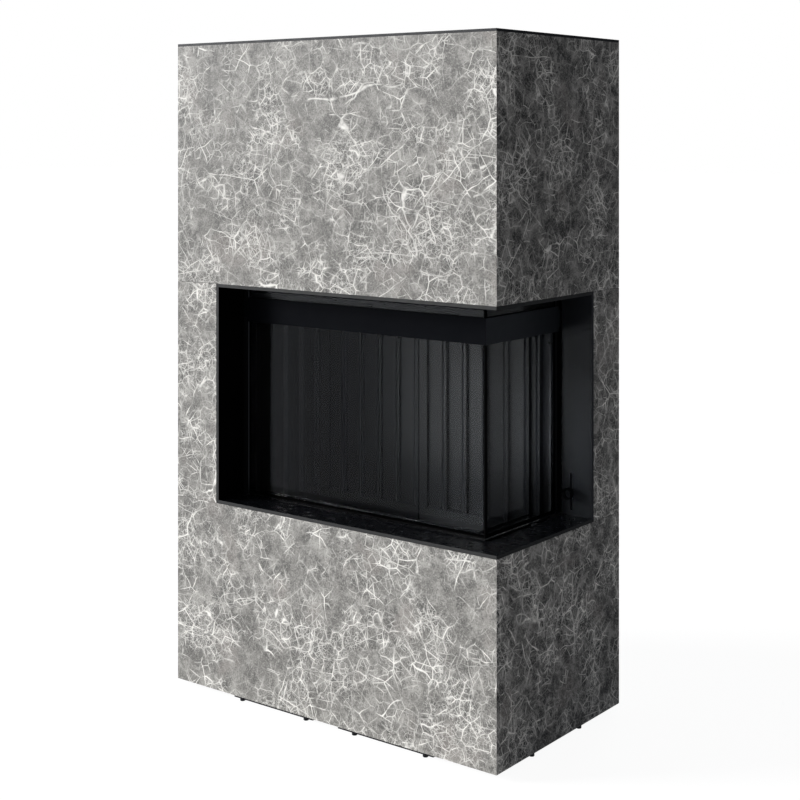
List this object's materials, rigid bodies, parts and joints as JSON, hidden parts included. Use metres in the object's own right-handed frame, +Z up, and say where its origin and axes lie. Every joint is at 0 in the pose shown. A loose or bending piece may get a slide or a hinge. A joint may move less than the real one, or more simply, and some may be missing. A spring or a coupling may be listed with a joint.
{
  "type": "corner fireplace with lift door",
  "caption": "Free-standing stone-clad corner fireplace with an L-shaped glass door that lifts on counterweights, a fluted sunken firebox and a sliding air control.",
  "frame": {"origin": "middle of the stone footprint on the floor, under the levelling feet", "axes": "+X to the right along the front, +Y from the front to the back, +Z up"},
  "size_m": [1.21, 0.66, 2.018],
  "materials": {
    "stone": "honed grey veined marble",
    "black_steel": "satin black stove paint",
    "gloss_black": "glossy black enamel",
    "frame_steel": "grey primer",
    "zinc_sheet": "zinc-coated sheet",
    "raw_steel": "mill finish",
    "weight_steel": "black oxide",
    "fireclay": "dark fired clay, sooted",
    "pane": "clear glass ceramic",
    "seal_black": "black glass-edge seal",
    "pulley_alloy": "turned",
    "wire": "stranded wire rope",
    "coil_steel": "glossy black wire",
    "screw_black": "black oxide"
  },
  "bodies": {
    "surround": {"upper_front_panel": "stone", "upper_side_panel": "stone", "left_pier_panel": "stone", "rear_pier_panel": "stone", "lower_front_panel": "stone", "lower_side_panel": "stone", "top_cap": "black_steel", "rear_cover": "zinc_sheet", "left_cover": "zinc_sheet", "base_rails": "frame_steel", "skid_plates": "black_steel", "levelling_feet": "black_steel", "frame_posts": "frame_steel", "corner_posts": "frame_steel", "opening_rails": "frame_steel", "top_rails": "frame_steel", "insert_legs": "frame_steel", "sill_plate": "gloss_black", "soffit_plate": "gloss_black", "left_jamb_plate": "gloss_black", "rear_jamb_plate": "gloss_black", "sill_cover": "gloss_black", "hearth_pan": "black_steel", "hearth_slabs": "fireclay", "firebox_back_wall": "black_steel", "firebox_left_wall": "black_steel", "left_lining": "fireclay", "back_lining_left": "fireclay", "back_lining_right": "fireclay", "lining_edge_plate": "gloss_black", "edge_plate_screws": "screw_black", "baffle_plate": "black_steel", "firebox_roof": "black_steel", "smoke_dome": "black_steel", "flue_pipe": "black_steel", "hood_band": "black_steel", "air_box": "zinc_sheet", "air_spigot": "zinc_sheet", "air_duct": "zinc_sheet", "air_register": "zinc_sheet", "guide_rails": "frame_steel", "weight_channels": "zinc_sheet", "pulley_brackets": "frame_steel", "cable_bends": "wire"},
    "lift_door": {"front_glass": "pane", "side_glass": "pane", "glass_seal": "seal_black", "door_top_rail": "gloss_black", "left_stile": "gloss_black", "rear_stile": "gloss_black", "door_cables": "wire"},
    "air_control": {"air_gate": "raw_steel", "air_lever": "coil_steel", "coil_knob": "coil_steel"},
    "left_weight": {"left_counterweight": "weight_steel", "left_weight_cable": "wire"},
    "rear_weight": {"rear_counterweight": "weight_steel", "rear_weight_cable": "wire"},
    "left_sheave": {"left_pulley": "pulley_alloy"},
    "rear_sheave": {"rear_pulley": "pulley_alloy"}
  },
  "joints": [
    {"name": "door_lift", "type": "slide", "parent": "surround", "child": "lift_door", "axis": [0, 0, 1], "range_m": [0, 0.54], "deforming": ["door_cables"]},
    {"name": "left_weight_drop", "type": "slide", "parent": "surround", "child": "left_weight", "axis": [0, 0, 1], "range_m": [-0.54, 0], "deforming": ["left_weight_cable"]},
    {"name": "rear_weight_drop", "type": "slide", "parent": "surround", "child": "rear_weight", "axis": [0, 0, 1], "range_m": [-0.54, 0], "deforming": ["rear_weight_cable"]},
    {"name": "left_sheave_turn", "type": "hinge", "parent": "surround", "child": "left_sheave", "pos_m": [-0.46, -0.2, 1.863], "axis": [0, 1, 0], "range_deg": [-480, 0]},
    {"name": "rear_sheave_turn", "type": "hinge", "parent": "surround", "child": "rear_sheave", "pos_m": [0.475, 0.217, 1.863], "axis": [1, 0, 0], "range_deg": [-480, 0]},
    {"name": "air_slide", "type": "slide", "parent": "surround", "child": "air_control", "axis": [0, 0, 1], "range_m": [-0.048, 0.053]}
  ],
  "couplings": [
    {"joint": "left_weight_drop", "follows": "door_lift", "ratio": -1},
    {"joint": "rear_weight_drop", "follows": "door_lift", "ratio": -1},
    {"joint": "left_sheave_turn", "follows": "door_lift", "rad_per_m": -15.385},
    {"joint": "rear_sheave_turn", "follows": "door_lift", "rad_per_m": -15.385}
  ]
}
